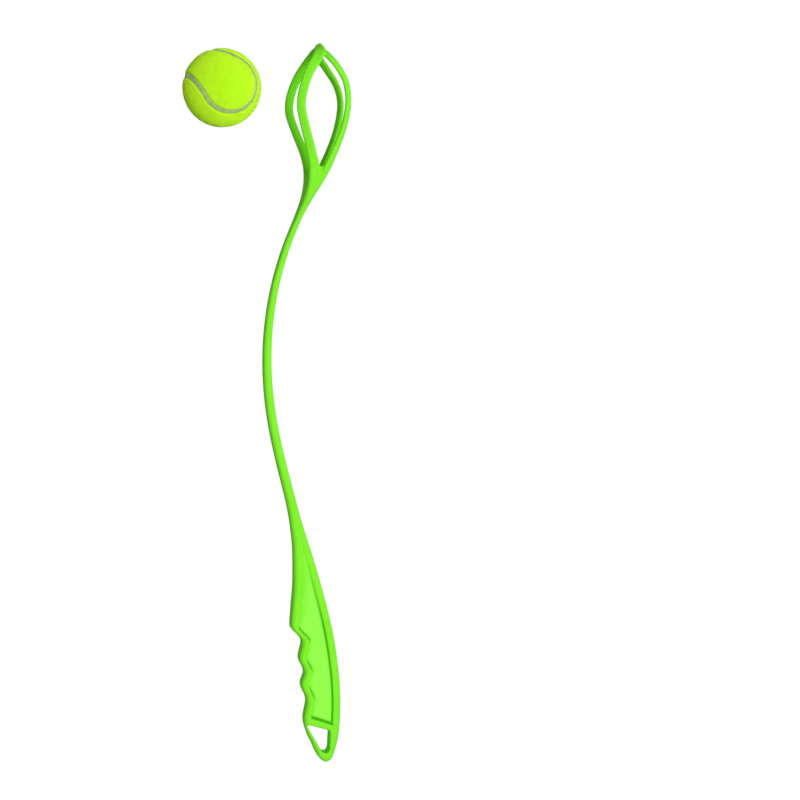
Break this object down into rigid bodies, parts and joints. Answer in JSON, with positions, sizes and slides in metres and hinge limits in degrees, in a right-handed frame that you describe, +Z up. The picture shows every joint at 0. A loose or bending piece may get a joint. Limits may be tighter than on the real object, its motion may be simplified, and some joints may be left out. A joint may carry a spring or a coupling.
{
  "type": "dog ball launcher stick",
  "caption": "Moulded throwing stick with a curved springy shaft, finger-grip handle, hang hole and open looped cup, with the felt-covered ball that it throws.",
  "frame": {"origin": "middle of the grip, on the stick's plane of symmetry", "axes": "+Z up the stick towards the cup, -X the way the ball is thrown, +Y to the back; the stick is symmetric about Y = 0"},
  "size_m": [0.1379, 0.0796, 0.6012],
  "materials": {
    "launcher_plastic": "satin lime green, moulded through",
    "ball_felt": "napped felt",
    "seam_cement": "matt",
    "core_rubber": "matt"
  },
  "bodies": {
    "launcher": {"handle": "launcher_plastic", "shaft": "launcher_plastic", "cup_neck": "launcher_plastic", "front_left_arm": "launcher_plastic", "back_left_arm": "launcher_plastic", "front_right_arm": "launcher_plastic", "back_right_arm": "launcher_plastic", "cup_tip": "launcher_plastic"},
    "ball": {"ball_core_half_a": "core_rubber", "ball_core_half_b": "core_rubber", "felt_panel_a": "ball_felt", "felt_panel_b": "ball_felt", "ball_seam": "seam_cement"}
  },
  "joints": [
    {"name": "ball_release", "type": "slide", "parent": "launcher", "child": "ball", "axis": [1, 0, 0], "range_m": [0, 0.0716]}
  ]
}
